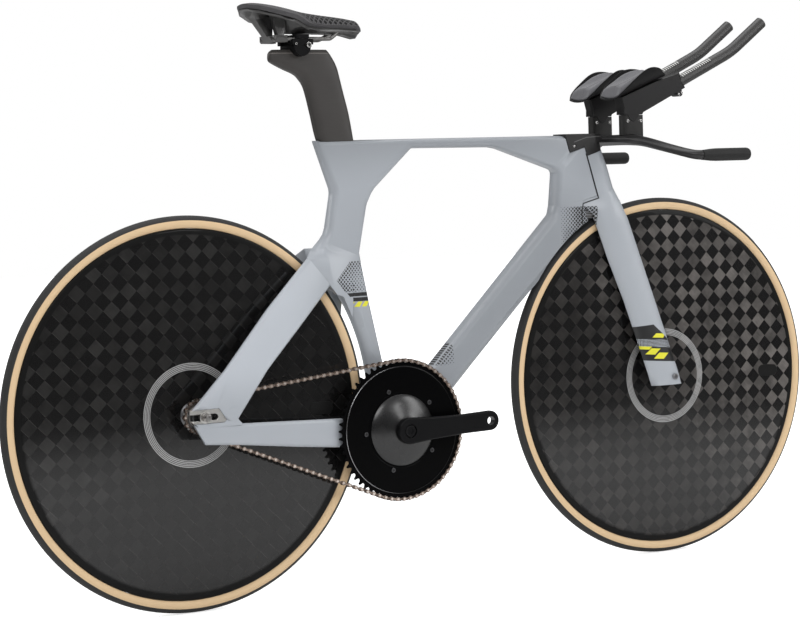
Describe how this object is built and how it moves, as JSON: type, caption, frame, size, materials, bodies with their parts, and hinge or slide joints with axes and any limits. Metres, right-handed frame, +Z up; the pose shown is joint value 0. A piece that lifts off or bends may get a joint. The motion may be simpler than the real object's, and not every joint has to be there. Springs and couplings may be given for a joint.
{
  "type": "track time-trial bicycle",
  "caption": "Track time-trial bicycle with a deep aero frame, disc wheels, fixed chain drive, drop-wing base bar with forearm cups and bent extensions, and a deep seatpost.",
  "frame": {"origin": "centre of the rear axle, where a stand holds the bicycle", "axes": "+X forward along the wheelbase, +Y to the rider's left, +Z up; the ground is at z = -0.334 m"},
  "size_m": [1.651, 0.399, 1.0225],
  "materials": {
    "grey_paint": "satin blue-grey paint over carbon",
    "tyre_rubber": "black tread with tan sidewalls in the render",
    "black_carbon": "glossy woven carbon",
    "satin_black": "satin black",
    "matte_carbon": "matte brown-black carbon",
    "grip_rubber": "matte rubber",
    "foam": "dark grey foam cloth",
    "steel": "brushed",
    "chain_steel": "warm nickel plating",
    "aluminium": "machined"
  },
  "bodies": {
    "frame": {"frame_main": "grey_paint", "seat_stay_left": "grey_paint", "seat_stay_right": "grey_paint", "chain_stay_left": "grey_paint", "chain_stay_right": "grey_paint", "track_end_left": "steel", "track_end_right": "steel", "bottom_bracket_left": "aluminium", "bottom_bracket_right": "aluminium", "headset_lower_bearing": "steel", "headset_upper_bearing": "steel", "seat_wedge": "satin_black", "rear_axle": "steel", "rear_axle_nut_left": "steel", "rear_axle_nut_right": "steel", "chain": "chain_steel"},
    "rear_wheel": {"rear_tyre": "tyre_rubber", "rear_disc": "black_carbon", "rear_valve_cover": "grip_rubber", "rear_hub": "aluminium", "cog": "steel", "lockring": "steel"},
    "crank": {"chainring": "black_carbon", "chainring_spider": "satin_black", "crank_spindle": "steel", "crank_arm_left": "satin_black", "crank_arm_right": "satin_black", "crank_bolt": "steel"},
    "steering": {"fork": "grey_paint", "steerer": "steel", "stem": "satin_black", "stem_screw": "steel", "base_bar": "satin_black", "grip_left": "grip_rubber", "grip_right": "grip_rubber", "riser_left": "satin_black", "riser_right": "satin_black", "arm_bracket_left": "satin_black", "arm_bracket_right": "satin_black", "arm_cup_left": "satin_black", "arm_cup_right": "satin_black", "arm_pad_left": "foam", "arm_pad_right": "foam", "front_axle": "steel", "front_axle_bolt_left": "steel", "front_axle_bolt_right": "steel"},
    "extension_left": {"extension_left": "black_carbon"},
    "extension_right": {"extension_right": "black_carbon"},
    "front_wheel": {"front_tyre": "tyre_rubber", "front_disc": "black_carbon", "front_valve_cover": "grip_rubber", "front_hub": "aluminium"},
    "seatpost": {"seatpost": "matte_carbon"},
    "saddle_head": {"saddle_cradle": "satin_black", "saddle_clamp": "satin_black", "saddle_clamp_bolt": "steel"},
    "saddle": {"saddle_pad": "satin_black", "saddle_shell": "black_carbon", "saddle_rails": "steel"}
  },
  "joints": [
    {"name": "rear_wheel_spin", "type": "hinge", "parent": "frame", "child": "rear_wheel", "pos_m": [0, 0, 0], "axis": [0, 1, 0], "continuous": true},
    {"name": "crank_spin", "type": "hinge", "parent": "frame", "child": "crank", "pos_m": [0.38804, 0, -0.053], "axis": [0, 1, 0], "continuous": true, "deforming": ["chain"]},
    {"name": "steering", "type": "hinge", "parent": "frame", "child": "steering", "pos_m": [0.93607, 0, 0], "axis": [-0.284, 0, 0.9588], "range_deg": [-15, 15]},
    {"name": "front_wheel_spin", "type": "hinge", "parent": "steering", "child": "front_wheel", "pos_m": [0.983, 0, 0], "axis": [0, 1, 0], "continuous": true},
    {"name": "extension_left_slide", "type": "slide", "parent": "steering", "child": "extension_left", "axis": [0.91, 0, 0.4147], "range_m": [-0.03, 0.03]},
    {"name": "extension_right_slide", "type": "slide", "parent": "steering", "child": "extension_right", "axis": [0.91, 0, 0.4147], "range_m": [-0.03, 0.03]},
    {"name": "seatpost_slide", "type": "slide", "parent": "frame", "child": "seatpost", "axis": [-0.2419, 0, 0.9703], "range_m": [-0.018, 0.04]},
    {"name": "saddle_tilt", "type": "hinge", "parent": "seatpost", "child": "saddle_head", "pos_m": [0.226, 0, 0.614], "axis": [0, 1, 0], "range_deg": [-8, 8]},
    {"name": "saddle_slide", "type": "slide", "parent": "saddle_head", "child": "saddle", "axis": [1, 0, 0], "range_m": [-0.015, 0.008]}
  ],
  "couplings": [
    {"joint": "crank_spin", "follows": "rear_wheel_spin", "ratio": 0.21667}
  ]
}
